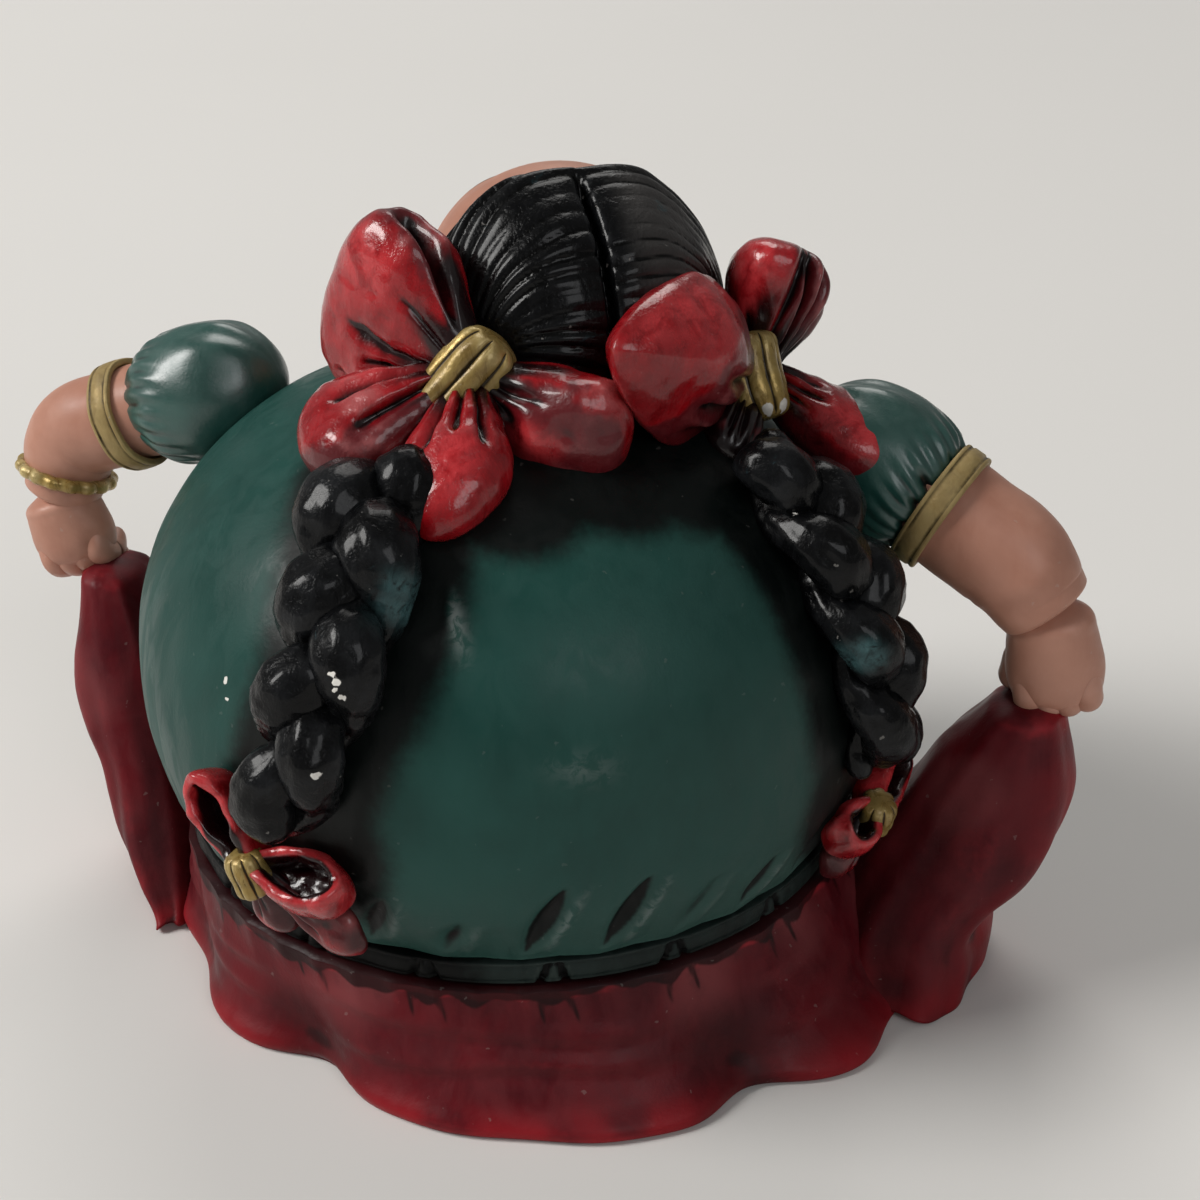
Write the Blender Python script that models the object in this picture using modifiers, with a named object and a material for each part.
# Souvenir figurine: a plump folk dancer in painted resin, cast in pieces and glued together
import bpy
import bmesh
from math import asin, atan2, copysign, cos, degrees, exp, pi, radians, sin
from mathutils import Matrix, Vector

for old in list(bpy.data.objects):
    bpy.data.objects.remove(old, do_unlink=True)

MM = 0.001
GAP = 0.3 * MM                     # glue line between neighbouring pieces

# Blouse: a turned ball with a flat underside and a tenon
BLOUSE_RADIUS = 39.5 * MM
BLOUSE_HALF_HEIGHT = 31.0 * MM
BLOUSE_CENTRE_Z = 33.5 * MM
BLOUSE_FULLNESS = 2.2              # 2 is an ellipse, more is squarer
TENON_RADIUS = 20.0 * MM
TENON_LENGTH = 8.5 * MM

# Waistband and skirt, stacked below the blouse
HEM_Z = 17.5 * MM                  # underside of the blouse
BAND_HEIGHT = 2.6 * MM
BAND_OVERHANG = 0.6 * MM           # how far the band stands out past the blouse hem
SKIRT_TOP_RADIUS = 36.5 * MM
SKIRT_HEM_RADIUS = 40.0 * MM
SKIRT_HEM_Z = 0.5 * MM
SKIRT_SPREAD = 5.0 * MM            # how much wider the hem is across than front to back
SKIRT_SWAY = 5.0 * MM              # how far the hem swings to the figure's right
FOLDS = (28, 60, 115, 143, -41, -69, -115, -143)  # folds in the hem, in degrees from the back
FOLD_DEPTH = 4.0 * MM
FOLD_WIDTH = 9.0

# Felt pad under the skirt, which the figurine stands on
FELT_RADIUS = 33.0 * MM
FELT_THICKNESS = 1.5 * MM

# Head, thrown back and turned to the figure's left, placed from the top of the blouse
HEAD_SHIFT_X = -4.0 * MM
HEAD_SHIFT_Y = -5.0 * MM
HEAD_RISE = 3.5 * MM               # the middle of the head above the top of the blouse
HEAD_CENTRE = Vector((HEAD_SHIFT_X, HEAD_SHIFT_Y, BLOUSE_CENTRE_Z + BLOUSE_HALF_HEIGHT + HEAD_RISE))
HEAD_RADIUS = 15.0 * MM
HEAD_TILT = radians(45)
HEAD_TURN = radians(31)
HAIR_THICKNESS = 1.4 * MM
HAIRLINE_BACK = 2.6 * MM           # the hairline lies this far behind the middle of the head
HAIRLINE_LEAN = radians(37)        # tilt of the hair's middle above the back of the head
PARTING_WIDTH = 1.4 * MM
NECK_RADIUS = 7.5 * MM
NECK_LENGTH = 15.0 * MM

# Sleeves, arms and hands: place on the blouse, then joints of the arm from the sleeve's centre
SLEEVE_LIFT = 5.0 * MM
SLEEVE_LENGTH = 19.0 * MM
SLEEVE_WIDTH = 15.0 * MM
CUFF_STAND = 1.1 * MM              # how far the cuff stands out past the arm
CUFF_WIDTH = 2.6 * MM
ARM_RADIUS = 5.3 * MM
WRIST_RADIUS = 3.9 * MM
HAND_WIDTH = 8.6 * MM
HAND_THICKNESS = 6.4 * MM
BRACELET_THICKNESS = 1.5 * MM
ARMS = {
    "left": dict(azimuth=102, polar=54, cuff=(10.4, -1, -4.2), elbow=(16.6, -2, -7.4),
                 wrist=(19.4, -1, -14.6), tip=(16.6, 0, -22.6), band=0.21),
    "right": dict(azimuth=-96, polar=56, cuff=(-6.0, 2, -3.2), elbow=(-13.0, 4, -7.0),
                  wrist=(-17.6, 5, -12.6), tip=(-19.6, 5, -23.6), band=0.25),
}

# Lifted sides of the skirt, each a fan that hangs from a hand
SIDE_FOOT_REACH = 46.5 * MM        # before the hem's swing
SIDE_FOOT_WIDTH = 36.0 * MM
SIDE_BULGE = 4.5 * MM
SIDE_TOP_WIDTH = 9.0 * MM

# Braids: turns of the plait, width at the root and the end, and the way down the blouse
BRAID_THICKNESS = 8.0 * MM
BRAID_LUMPS = 4
BRAID_RELIEF = 0.3                 # depth of the creases between lumps, as a share of the half width
BRAIDS = {
    "left": dict(azimuth=(17, 18), sway=-5, polar=(33, 93), width=(14.0, 8.6)),
    "right": dict(azimuth=(-72, -72), sway=3, polar=(38, 97), width=(12.6, 9.2)),
}

# Hair bows. Knots and loops lie on the hair: azimuth from the back, height angle, lift, width.
# Tails lie on the blouse: azimuth from the back, angle from the top, lift, width.
# A fifth value is the thickness of a loop that is fuller than the others.
HAIR_KNOT = (8.4 * MM, 7.2 * MM)
LOBE_THICKNESS = 7.5 * MM
TAIL_LENGTH = 11.0 * MM            # from the knot to the widest part of a tail
HAIR_BOWS = {
    "left": dict(knot=(14, 0, 2.8), loop_outer=(54, 12, 3.6, 17.0), loop_inner=(-13, -12, 3.8, 14.5),
                 tail_outer=(31.2, 26.6, 2.0, 12.5), tail_inner=(-6.4, 31.6, 1.5, 11.0)),
    "right": dict(knot=(-88, -12, 3.6), loop_outer=(-101, 9, 5.6, 16.0, 10.5), loop_inner=(-43, 6, 3.8, 17.0),
                  tail_outer=(-94.6, 45.4, 4.0, 11.5), tail_inner=(-77.6, 34.4, -0.2, 7.5)),
}

# Small bows that tie the braids, placed on the blouse: azimuth from the back, angle from the top
TIE_KNOT = (4.6 * MM, 4.2 * MM)
TIE_THICKNESS = 3.4 * MM
TIE_LIFT = 2.2 * MM
TIES = {
    "left": dict(knot=(23, 99), loop_outer=(31, 88, 7.0), loop_inner=(11, 99, 6.6),
                 tail_outer=(22, 108, 4.6), tail_inner=(13, 107, 5.0)),
    "right": dict(knot=(-74, 106), loop_outer=(-88, 104, 6.0), loop_inner=(-64, 109, 6.4),
                  tail_outer=(-79, 113, 4.4), tail_inner=(-70, 114, 4.4)),
}

# Neckline trim: a cord laid in the crease under the chin
TRIM_THICKNESS = 3.0 * MM


def new_collection(name):
    made = bpy.data.collections.new(name)
    bpy.context.scene.collection.children.link(made)
    return made


PARTS = new_collection("souvenir_figurine")
CUTTERS = new_collection("cutters")
forms = {}                         # uncut lumps of each piece
swollen = {}                       # the same, grown by the glue line, as cutting tools


def paint(name, colour, roughness):
    made = bpy.data.materials.new(name)
    made.use_nodes = True
    shader = made.node_tree.nodes["Principled BSDF"]
    shader.inputs["Base Color"].default_value = (*colour, 1)
    shader.inputs["Roughness"].default_value = roughness
    return made


GREEN = paint("blouse_green", (0.015, 0.07, 0.055), 0.4)
RED = paint("skirt_red", (0.19, 0.014, 0.02), 0.5)
BOW_RED = paint("ribbon_red", (0.4, 0.012, 0.02), 0.35)
BLACK = paint("hair_black", (0.006, 0.006, 0.008), 0.35)
DARK = paint("band_dark", (0.02, 0.03, 0.028), 0.5)
GOLD = paint("trim_gold", (0.28, 0.19, 0.05), 0.4)
SKIN = paint("skin_flesh", (0.52, 0.24, 0.17), 0.5)
FELT = paint("felt_green", (0.02, 0.06, 0.04), 0.95)


# Mesh of an object with its modifiers applied
def baked(data):
    helper = bpy.data.objects.new("helper", data) if not isinstance(data, bpy.types.Object) else data
    bpy.context.scene.collection.objects.link(helper)
    graph = bpy.context.evaluated_depsgraph_get()
    graph.update()
    mesh = bpy.data.meshes.new_from_object(helper.evaluated_get(graph), depsgraph=graph)
    bpy.data.objects.remove(helper, do_unlink=True)
    work = bmesh.new()
    work.from_mesh(mesh)
    bmesh.ops.remove_doubles(work, verts=work.verts, dist=0.0005 * MM)
    bmesh.ops.dissolve_degenerate(work, edges=work.edges, dist=0.0005 * MM)
    bmesh.ops.triangulate(work, faces=work.faces)
    work.to_mesh(mesh)
    work.free()
    return mesh


# Profile of (radius, height) turned about Z, from the top down the outer side
def turned(profile, steps, closed=False):
    mesh = bpy.data.meshes.new("profile")
    last = len(profile) - (0 if closed else 1)
    mesh.from_pydata([(r, 0, z) for r, z in profile],
                     [(i, (i + 1) % len(profile)) for i in range(last)], [])
    helper = bpy.data.objects.new("turned", mesh)
    screw = helper.modifiers.new("turn", "SCREW")
    screw.steps = screw.render_steps = steps
    screw.use_merge_vertices = True
    screw.merge_threshold = 0.01 * MM
    return baked(helper)


# Sections joined in order, closed at both ends and softened once
def lofted(sections, levels=1):
    work = bmesh.new()
    rings = [[work.verts.new(p) for p in section] for section in sections]
    for lower, upper in zip(rings, rings[1:]):
        for k in range(len(lower)):
            n = (k + 1) % len(lower)
            work.faces.new((lower[k], lower[n], upper[n], upper[k]))
    work.faces.new(rings[0])
    work.faces.new(rings[-1])
    bmesh.ops.recalc_face_normals(work, faces=work.faces)
    mesh = bpy.data.meshes.new("loft")
    work.to_mesh(mesh)
    work.free()
    helper = bpy.data.objects.new("lofted", mesh)
    soft = helper.modifiers.new("soften", "SUBSURF")
    soft.levels = soft.render_levels = levels
    return baked(helper)


# Oval of 8 points round a centre, with its two half axes given as vectors
def oval(centre, half_u, half_v, count=8):
    return [centre + half_u * cos(2 * pi * k / count) + half_v * sin(2 * pi * k / count)
            for k in range(count)]


# Point on a smooth path through a list of values, from 0 at the first to 1 at the last
def along_path(values, t):
    place = min(max(t, 0), 1) * (len(values) - 1)
    i = min(int(place), len(values) - 2)
    before, start, end, after = (values[max(0, min(len(values) - 1, i + k))] for k in (-1, 0, 1, 2))
    u = place - i
    return (start * 2 + (end - before) * u + (before * 2 - start * 5 + end * 4 - after) * u ** 2
            + (start * 3 - before - end * 3 + after) * u ** 3) * 0.5


# Round bar along a smooth path, with its own radius at each point
def bar(points, radii, steps):
    curve = bpy.data.curves.new("path", "CURVE")
    curve.dimensions = "3D"
    curve.bevel_depth = 1.0
    curve.bevel_resolution = 4
    curve.use_fill_caps = True
    spline = curve.splines.new("POLY")
    spline.points.add(steps)
    for i, knot in enumerate(spline.points):
        knot.co = (*along_path(points, i / steps), 1)
        knot.radius = along_path(radii, i / steps)
    return baked(curve)


def ball(centre, half, turn=None, across=20, down=12):
    work = bmesh.new()
    bmesh.ops.create_uvsphere(work, u_segments=across, v_segments=down, radius=1)
    matrix = Matrix.Translation(centre) @ (turn or Matrix()).to_4x4() @ Matrix.Diagonal((*half, 1))
    bmesh.ops.transform(work, matrix=matrix, verts=work.verts)
    bmesh.ops.triangulate(work, faces=work.faces)
    mesh = bpy.data.meshes.new("ball")
    work.to_mesh(mesh)
    work.free()
    return mesh


# Rotation that takes +Z to a direction
def along(direction):
    return direction.to_track_quat("Z", "Y").to_matrix()


def moved(mesh, matrix):
    mesh.transform(matrix)
    return mesh


def cutter(name, mesh, swell=0):
    tool = bpy.data.objects.new("cut_" + name, mesh)
    CUTTERS.objects.link(tool)
    tool.hide_render = True
    tool.display_type = "WIRE"
    if swell:
        grow = tool.modifiers.new("glue_line", "DISPLACE")
        grow.strength = swell
        grow.mid_level = 0
    return tool


# Copies of a piece's uncut lumps, each grown by the glue line
def tools_of(name):
    if name not in swollen:
        swollen[name] = [cutter(name, mesh.copy(), GAP) for mesh in forms[name]]
    return swollen[name]


# Mesh joined to, or cut by, a tool, where their boxes meet
def combined(mesh, tool, operation):
    ours, theirs = ([[corner[k] for corner in data] for k in range(3)] for data in
                    ([v.co for v in mesh.vertices], [v.co for v in tool.data.vertices]))
    if any(max(a) < min(b) - GAP or min(a) > max(b) + GAP for a, b in zip(ours, theirs)):
        return mesh
    helper = bpy.data.objects.new("combined", mesh)
    step = helper.modifiers.new(tool.name, "BOOLEAN")
    step.operation = operation
    step.solver = "EXACT"
    step.object = tool
    return baked(helper)


# One named piece: its joined lumps less the grown lumps of the pieces that it seats on
def piece(name, mesh, material, seats=(), joins=()):
    forms[name] = [mesh, *joins]
    solid = mesh.copy()
    for other in joins:
        solid = combined(solid, cutter(name + "_join", other.copy()), "UNION")
    for seat in seats:
        for tool in tools_of(seat) if isinstance(seat, str) else [seat]:
            solid = combined(solid, tool, "DIFFERENCE")
    solid.materials.clear()
    solid.materials.append(material)
    PARTS.objects.link(bpy.data.objects.new(name, solid))


# Point on the blouse, by azimuth from the back and angle from the top, raised by a lift
def on_blouse(azimuth, polar, lift=0.0):
    power = 2 / BLOUSE_FULLNESS
    ring = (BLOUSE_RADIUS + lift) * sin(polar) ** power
    rise = (BLOUSE_HALF_HEIGHT + lift) * copysign(abs(cos(polar)) ** power, cos(polar))
    return Vector((ring * sin(azimuth), ring * cos(azimuth), BLOUSE_CENTRE_Z + rise))


def hem_radius():
    share = (BLOUSE_CENTRE_Z - HEM_Z) / BLOUSE_HALF_HEIGHT
    return BLOUSE_RADIUS * (1 - share ** BLOUSE_FULLNESS) ** (1 / BLOUSE_FULLNESS)


def head_frame():
    return Matrix.Rotation(HEAD_TURN, 3, "Z") @ Matrix.Rotation(-HEAD_TILT, 3, "X")


# Point off the hair, by azimuth from the back and angle above the level
def off_head(azimuth, rise, lift):
    reach = HEAD_RADIUS + HAIR_THICKNESS + lift
    level = Vector((sin(azimuth) * cos(rise), cos(azimuth) * cos(rise), sin(rise)))
    return HEAD_CENTRE + level * reach


def make_felt():
    profile = [(0, FELT_THICKNESS), (FELT_RADIUS, FELT_THICKNESS), (FELT_RADIUS, 0), (0, 0)]
    piece("felt_pad", turned(profile, 48), FELT)


def skirt_top():
    return HEM_Z - BAND_HEIGHT - 2 * GAP


# Turned skirt with a socket above, a felt recess below and folds in its hem
def make_skirt():
    top = skirt_top()
    socket_floor = HEM_Z - TENON_LENGTH - GAP
    socket, recess = TENON_RADIUS + GAP, FELT_RADIUS + GAP
    flare = SKIRT_HEM_RADIUS - SKIRT_TOP_RADIUS
    side = [(SKIRT_TOP_RADIUS + flare * t ** 1.6, top - (top - SKIRT_HEM_Z) * t)
            for t in (0, 0.12, 0.3, 0.5, 0.7, 0.88, 1)]
    profile = [(0, socket_floor), (socket, socket_floor), (socket, top), *side,
               (recess, SKIRT_HEM_Z), (recess, FELT_THICKNESS + GAP), (0, FELT_THICKNESS + GAP)]
    mesh = turned(profile, 72)
    for vert in mesh.vertices:
        radius, azimuth = vert.co.xy.length, degrees(atan2(vert.co.x, vert.co.y))
        if radius > recess + GAP:
            drop = max(0, (top - vert.co.z) / (top - SKIRT_HEM_Z)) ** 1.3
            dip = sum(exp(-((azimuth - fold) / FOLD_WIDTH) ** 2) for fold in FOLDS)
            spread = SKIRT_SPREAD * sin(radians(azimuth)) ** 2
            vert.co.xy *= 1 + (spread - FOLD_DEPTH * dip) * drop / radius
            vert.co.x -= SKIRT_SWAY * drop
    piece("skirt", mesh, RED)


def make_waistband():
    outer, inner = hem_radius() + BAND_OVERHANG, TENON_RADIUS + GAP
    top = HEM_Z - GAP
    low, ease = top - BAND_HEIGHT, 0.25 * BAND_HEIGHT
    profile = [(inner, top), (outer - ease, top), (outer, top - ease), (outer, low + ease),
               (outer - ease, low), (inner, low)]
    piece("waistband", turned(profile, 48, closed=True), DARK)


# Ball down to the hem, with a flat seat for the waistband and a tenon for the skirt
def make_blouse():
    share = ((BLOUSE_CENTRE_Z - HEM_Z) / BLOUSE_HALF_HEIGHT) ** (BLOUSE_FULLNESS / 2)
    end, steps = pi / 2 + asin(share), 15
    side = [on_blouse(pi / 2, end * i / steps) for i in range(1, steps)]
    profile = [(0, BLOUSE_CENTRE_Z + BLOUSE_HALF_HEIGHT), *[(p.x, p.z) for p in side],
               (hem_radius(), HEM_Z), (TENON_RADIUS, HEM_Z),
               (TENON_RADIUS, HEM_Z - TENON_LENGTH), (0, HEM_Z - TENON_LENGTH)]
    piece("blouse", turned(profile, 44), GREEN, ["head"])


# Skull, jaw, nose, ears and a neck peg that goes down into the blouse
def make_head():
    frame = head_frame()

    def lump(place, half, across=14, down=10):
        centre = HEAD_CENTRE + frame @ (Vector(place) * HEAD_RADIUS)
        return ball(centre, Vector(half) * HEAD_RADIUS, frame, across, down)

    jaw = lump((0, -0.3, -0.42), (0.74, 0.66, 0.6), 20, 12)
    nose = lump((0, -0.94, -0.28), (0.14, 0.22, 0.2), 10, 8)
    ears = [lump((way * 0.95, 0.06, -0.12), (0.12, 0.17, 0.24), 10, 8) for way in (-1, 1)]
    foot = HEAD_CENTRE - Vector((0, 0, NECK_LENGTH))
    neck = bar([HEAD_CENTRE, foot], [NECK_RADIUS, NECK_RADIUS], 2)
    piece("head", lump((0, 0, 0), (0.97, 1, 1), 28, 18), SKIN, joins=[jaw, nose, neck, *ears])


# Large block that fills one side of the hairline, to cut the hair or the neck trim away there
def hairline_block(name, way):
    size = 6 * HEAD_RADIUS
    back = head_frame() @ Vector((0, cos(HAIRLINE_LEAN), sin(HAIRLINE_LEAN)))
    work = bmesh.new()
    bmesh.ops.create_cube(work, size=size)
    centre = HEAD_CENTRE + back * (HAIRLINE_BACK + way * size / 2)
    bmesh.ops.transform(work, matrix=Matrix.Translation(centre) @ along(back).to_4x4(), verts=work.verts)
    mesh = bpy.data.meshes.new(name)
    work.to_mesh(mesh)
    work.free()
    return cutter(name, mesh)


# Cap over the back of the head, with a parting groove down its middle
def make_hair():
    frame, radius = head_frame(), HEAD_RADIUS + HAIR_THICKNESS
    lay = Matrix.Translation(HEAD_CENTRE) @ along(frame @ Vector((1, 0, 0))).to_4x4()
    groove = cutter("parting", moved(ring(radius, PARTING_WIDTH / 2, 48, 6), lay))
    piece("hair", ball(HEAD_CENTRE, (radius, radius, radius), frame, 32, 20), BLACK,
          ["head", "blouse", hairline_block("face_side", -1), groove])


# Round wire bent to a circle about Z
def ring(radius, half, steps, sides=6):
    section = [(radius + half * sin(2 * pi * k / sides), half * cos(2 * pi * k / sides))
               for k in range(sides)]
    return turned(section, steps, closed=True)


# Joints of one arm as points: sleeve centre, cuff, elbow, wrist and finger tips
def arm_points(side):
    arm = ARMS[side]
    sleeve = on_blouse(radians(arm["azimuth"]), radians(arm["polar"]), SLEEVE_LIFT)
    return [sleeve] + [sleeve + Vector(arm[key]) * MM for key in ("cuff", "elbow", "wrist", "tip")]


# Path of the bare arm from inside the sleeve to a peg in the hand, and its radii
def arm_route(side):
    sleeve, cuff, elbow, wrist = arm_points(side)[:4]
    points = [sleeve.lerp(cuff, 0.3), cuff, elbow, wrist + (elbow - wrist) * 0.3, wrist]
    return points, [ARM_RADIUS * 0.9, ARM_RADIUS, ARM_RADIUS, WRIST_RADIUS * 1.05, WRIST_RADIUS]


# Ring of a turned profile, laid across the arm at a share of its path
def round_arm(side, mesh, share):
    points = arm_route(side)[0]
    run = along_path(points, share + 0.02) - along_path(points, share - 0.02)
    return moved(mesh, Matrix.Translation(along_path(points, share)) @ along(run).to_4x4())


def bow_pieces(side):
    return [made for made in forms if made.startswith("bow_" + side)]


def make_arm(side):
    piece("arm_" + side, bar(*arm_route(side), 14), SKIN, bow_pieces(side))


# Mitt of folded fingers round the end of the arm, with a thumb on its front
def make_hand(side):
    wrist, tip = arm_points(side)[3:]
    axis = (tip - wrist).normalized()
    wide = axis.cross(Vector((0, 1, 0))).normalized() * HAND_WIDTH / 2
    thick = axis.cross(wide).normalized() * HAND_THICKNESS / 2
    shape = ((-0.12, 0.9), (0.2, 1.0), (0.55, 1.12), (0.85, 1.05), (1.0, 0.62))
    sections = [oval(wrist.lerp(tip, t), wide * s, thick * s) for t, s in shape]
    inward = Vector((-copysign(1, tip.x), -0.3, -0.7)).normalized()
    root = wrist.lerp(tip, 0.4) + inward * HAND_WIDTH * 0.35
    thumb = ball(root, (HAND_WIDTH * 0.17, HAND_WIDTH * 0.17, HAND_WIDTH * 0.36), along(inward), 10, 8)
    piece("hand_" + side, lofted(sections), SKIN, ["arm_" + side], [thumb])


# Puffed sleeve on the blouse, dented where a tail of the hair bow lies on it
def make_sleeve(side):
    centre, cuff = arm_points(side)[:2]
    half = (SLEEVE_WIDTH / 2, SLEEVE_WIDTH / 2, SLEEVE_LENGTH / 2)
    seats = ["blouse", "arm_" + side, *bow_pieces(side)]
    piece("sleeve_" + side, ball(centre, half, along(cuff - centre), 24, 14), GREEN, seats)


# Flat gold band where the sleeve ends
def make_cuff(side):
    half, ease, outer = CUFF_WIDTH / 2, CUFF_WIDTH / 4, ARM_RADIUS + CUFF_STAND
    profile = [(0, half), (outer - ease, half), (outer, half - ease),
               (outer, ease - half), (outer - ease, -half), (0, -half)]
    piece("cuff_" + side, round_arm(side, turned(profile, 24), ARMS[side]["band"]), GOLD,
          ["arm_" + side, "sleeve_" + side])


def make_bracelet():
    half = BRACELET_THICKNESS / 2
    share, radius = 0.7, along_path(arm_route("left")[1], 0.7)
    piece("bracelet_left", round_arm("left", ring(radius + GAP, half, 24), share), GOLD,
          ["arm_left", "hand_left"])


# Fan of gathered cloth from the hem at the side up to the hand
def make_skirt_side(side):
    tip = arm_points(side)[4]
    way, hand = copysign(1, tip.x), abs(tip.x)
    foot_inner, top = FELT_RADIUS + 2.5 * MM, tip.z + 1.5 * MM
    foot = SIDE_FOOT_REACH - way * SKIRT_SWAY
    sections = []
    for f in (0, 0.12, 0.35, 0.6, 0.85, 1):
        outer = foot + (hand + 1 * MM - foot) * f ** 0.5 + SIDE_BULGE * sin(pi * f)
        inner = foot_inner + (hand - 4 * MM - foot_inner) * f ** 1.8
        wide = (SIDE_FOOT_WIDTH + (SIDE_TOP_WIDTH - SIDE_FOOT_WIDTH) * f ** 0.8) / 2
        centre = Vector((way * (outer + inner) / 2, tip.y * f ** 0.7, SKIRT_HEM_Z + (top - SKIRT_HEM_Z) * f))
        sections.append(oval(centre, Vector(((outer - inner) / 2, 0, 0)), Vector((0, wide, 0)), 12))
    piece("skirt_side_" + side, lofted(sections), RED, ["skirt", "waistband", "blouse", "hand_" + side])


# Puffed leaf of ribbon from a knot out past a centre, narrow at the knot and rounded at its end
def lobe(knot, centre, outward, width, thickness, count=8):
    axis = centre - knot
    wide = axis.cross(outward).normalized() * width / 2
    thick = wide.cross(axis).normalized() * thickness / 2
    shape = ((0.05, 0.4, 0.55), (0.4, 0.72, 0.9), (0.85, 1.1, 1.1), (1.3, 1.05, 1.0), (1.6, 0.5, 0.5))
    return lofted([oval(knot + axis * s, wide * w, thick * t, count) for s, w, t in shape])


# Ribbon bow on the hair: a gathered knot, two loops and two tails
def make_hair_bow(side):
    bow, name = HAIR_BOWS[side], "bow_" + side
    seats = ["hair", "head", "blouse"] + [made for made in forms if "loop" in made]
    places = {key: (on_blouse if "tail" in key else off_head)(radians(v[0]), radians(v[1]), v[2] * MM)
              for key, v in bow.items()}
    knot = places.pop("knot")
    out = (knot - HEAD_CENTRE).normalized()
    half = (HAIR_KNOT[0] / 2, HAIR_KNOT[1] / 2, HAIR_KNOT[1] / 2)
    piece(name + "_knot", ball(knot, half, along(out), 14, 8), GOLD, seats)
    seats.append(name + "_knot")
    for key, centre in places.items():
        rest = HEAD_CENTRE
        if "tail" in key:
            rest = Vector((0, 0, BLOUSE_CENTRE_Z))
            centre = knot + (centre - knot).normalized() * TAIL_LENGTH
        thickness = bow[key][4] * MM if len(bow[key]) > 4 else LOBE_THICKNESS
        mesh = lobe(knot, centre, centre - rest, bow[key][3] * MM, thickness)
        piece(f"{name}_{key}", mesh, BOW_RED, seats)
        seats.append(f"{name}_{key}")


# Small ribbon bow at the end of a braid, lying on the blouse
def make_tie(side):
    tie, name = TIES[side], "tie_" + side
    seats = ["blouse", "waistband", "skirt", "skirt_side_" + side]
    places = {key: on_blouse(radians(v[0]), radians(v[1]), TIE_LIFT) for key, v in tie.items()}
    knot = places.pop("knot")
    heart = Vector((0, 0, BLOUSE_CENTRE_Z))
    half = (TIE_KNOT[0] / 2, TIE_KNOT[1] / 2, TIE_KNOT[1] / 2)
    piece(name + "_knot", ball(knot, half, along(knot - heart), 10, 6), GOLD, seats)
    seats.append(name + "_knot")
    for key, centre in places.items():
        mesh = lobe(knot, centre, centre - heart, tie[key][2] * MM, TIE_THICKNESS, 6)
        piece(f"{name}_{key}", mesh, BOW_RED, seats)
        seats.append(f"{name}_{key}")


# Share of a plait's full size at an angle round it and a place along it: lumps swell on the right
# and the left edge in turn, each slanting in to the middle
def plait_swell(angle, place):
    edge = cos(angle)
    right = min(max(0.5 + 2 * edge, 0), 1)
    beat = BRAID_LUMPS * place - 0.35 * (1 - abs(edge))
    lump = right * abs(sin(pi * beat)) + (1 - right) * abs(cos(pi * beat))
    return 1 - BRAID_RELIEF * (1 - lump ** 0.6)


# Plait on the blouse, from under the hair bow down to its tie
def make_braid(side):
    braid = BRAIDS[side]
    count, points = BRAID_LUMPS * 9, 12
    lift = 0.3 * BRAID_THICKNESS

    def place(t, height):
        start, end = braid["azimuth"]
        azimuth = start + (end - start) * t + braid["sway"] * sin(pi * t)
        polar = braid["polar"][0] + (braid["polar"][1] - braid["polar"][0]) * t
        return on_blouse(radians(azimuth), radians(polar), height)

    sections = []
    for i in range(count + 1):
        t = i / count
        centre = place(t, lift)
        out = (place(t, lift + MM) - centre).normalized()
        run = (place(t + 0.01, lift) - place(t - 0.01, lift)).normalized()
        width = braid["width"][0] + (braid["width"][1] - braid["width"][0]) * t ** 2
        close = max(0.3, (1 - abs(2 * t - 1) ** 10) ** 0.5)
        across, high = run.cross(out) * width * MM / 2 * close, out * BRAID_THICKNESS / 2 * close
        section = []
        for k, point in enumerate(oval(centre, across, high, points)):
            section.append(centre + (point - centre) * plait_swell(2 * pi * k / points, t))
        sections.append(section)
    seats = ["blouse", "hair", "head"]
    for bow in ("bow_", "tie_"):
        seats += [name for name in forms if name.startswith(bow + side)]
    piece("braid_" + side, lofted(sections, 0), BLACK, seats)


# Height of the blouse above a point of the floor
def blouse_height(x, y):
    share = (Vector((x, y)).length / BLOUSE_RADIUS) ** BLOUSE_FULLNESS
    return BLOUSE_CENTRE_Z + BLOUSE_HALF_HEIGHT * (1 - share) ** (1 / BLOUSE_FULLNESS)


# Cord round the neckline, in the crease between the chin and the blouse
def make_neck_trim():
    radius = HEAD_RADIUS + 0.8 * MM
    x, y = HEAD_CENTRE.x, HEAD_CENTRE.y
    front, back = blouse_height(x, y - radius), blouse_height(x, y + radius)
    centre = Vector((x, y, (front + back) / 2 + TRIM_THICKNESS / 3))
    lay = Matrix.Translation(centre) @ Matrix.Rotation(atan2(back - front, 2 * radius), 4, "X")
    seats = ["head", "hair", "blouse", hairline_block("back_side", 1)]
    seats += [name for name in forms if name.startswith("bow_")]
    piece("neck_trim", moved(ring(radius, TRIM_THICKNESS / 2, 36), lay), GOLD, seats)


make_felt()
make_skirt()
make_waistband()
make_head()
make_blouse()
make_hair()
for hand_side in ("left", "right"):
    make_hair_bow(hand_side)
    make_arm(hand_side)
    make_hand(hand_side)
    make_sleeve(hand_side)
    make_cuff(hand_side)
    make_skirt_side(hand_side)
    make_tie(hand_side)
    make_braid(hand_side)
make_bracelet()
make_neck_trim()
